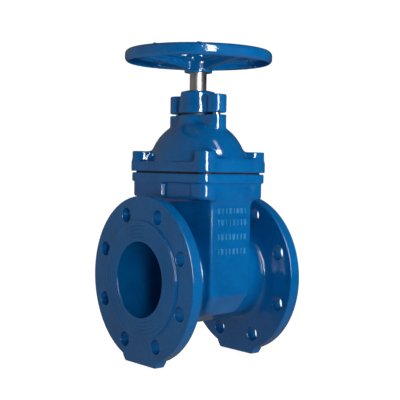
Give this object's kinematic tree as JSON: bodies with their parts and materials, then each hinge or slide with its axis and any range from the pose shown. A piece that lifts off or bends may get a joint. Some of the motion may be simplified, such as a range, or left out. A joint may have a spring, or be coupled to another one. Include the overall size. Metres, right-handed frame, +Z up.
{
  "type": "gate valve",
  "caption": "Flanged resilient-seated gate valve with a non-rising stem, a bolted bonnet and a spoked handwheel that drives the wedge through a screw.",
  "frame": {"origin": "where the pipe axis crosses the stem axis", "axes": "+X along the pipe, +Z up along the stem towards the handwheel, +Y across the pipe"},
  "size_m": [0.2, 0.22, 0.419],
  "materials": {
    "blue_paint": "glossy fusion-bonded epoxy",
    "stainless_steel": "turned",
    "brass": "machined",
    "black_rubber": "matt",
    "pale_plastic": "moulded",
    "hot_melt": "satin, domed by cooling",
    "ductile_iron": "as cast"
  },
  "bodies": {
    "valve_body": {"body": "blue_paint", "bonnet": "blue_paint", "bonnet_gasket": "black_rubber", "bonnet_bolts": "stainless_steel", "bolt_seal_plugs": "hot_melt", "gland_housing": "blue_paint", "gland_seal_ring": "black_rubber", "gland_bolts": "stainless_steel", "gland_bolt_plugs": "hot_melt", "lower_thrust_washer": "pale_plastic", "upper_thrust_washer": "pale_plastic", "stem_bush": "brass", "bush_o_rings": "black_rubber", "stem_o_rings": "black_rubber", "wiper_ring": "black_rubber", "stem_back_seal": "black_rubber"},
    "spindle": {"stem": "stainless_steel", "handwheel": "blue_paint", "handwheel_washer": "stainless_steel", "handwheel_bolt": "stainless_steel"},
    "wedge": {"wedge_core": "ductile_iron", "wedge_rubber": "black_rubber", "wedge_nut": "brass", "wedge_guide_shoes": "pale_plastic"}
  },
  "joints": [
    {"name": "handwheel_turn", "type": "hinge", "parent": "valve_body", "child": "spindle", "pos_m": [0, 0, 0.23], "axis": [0, 0, 1], "range_deg": [-7920, 0]},
    {"name": "wedge_slide", "type": "slide", "parent": "valve_body", "child": "wedge", "axis": [0, 0, 1], "range_m": [-0.11, 0]}
  ],
  "couplings": [
    {"joint": "wedge_slide", "follows": "handwheel_turn", "m_per_rad": 0.00079577}
  ]
}
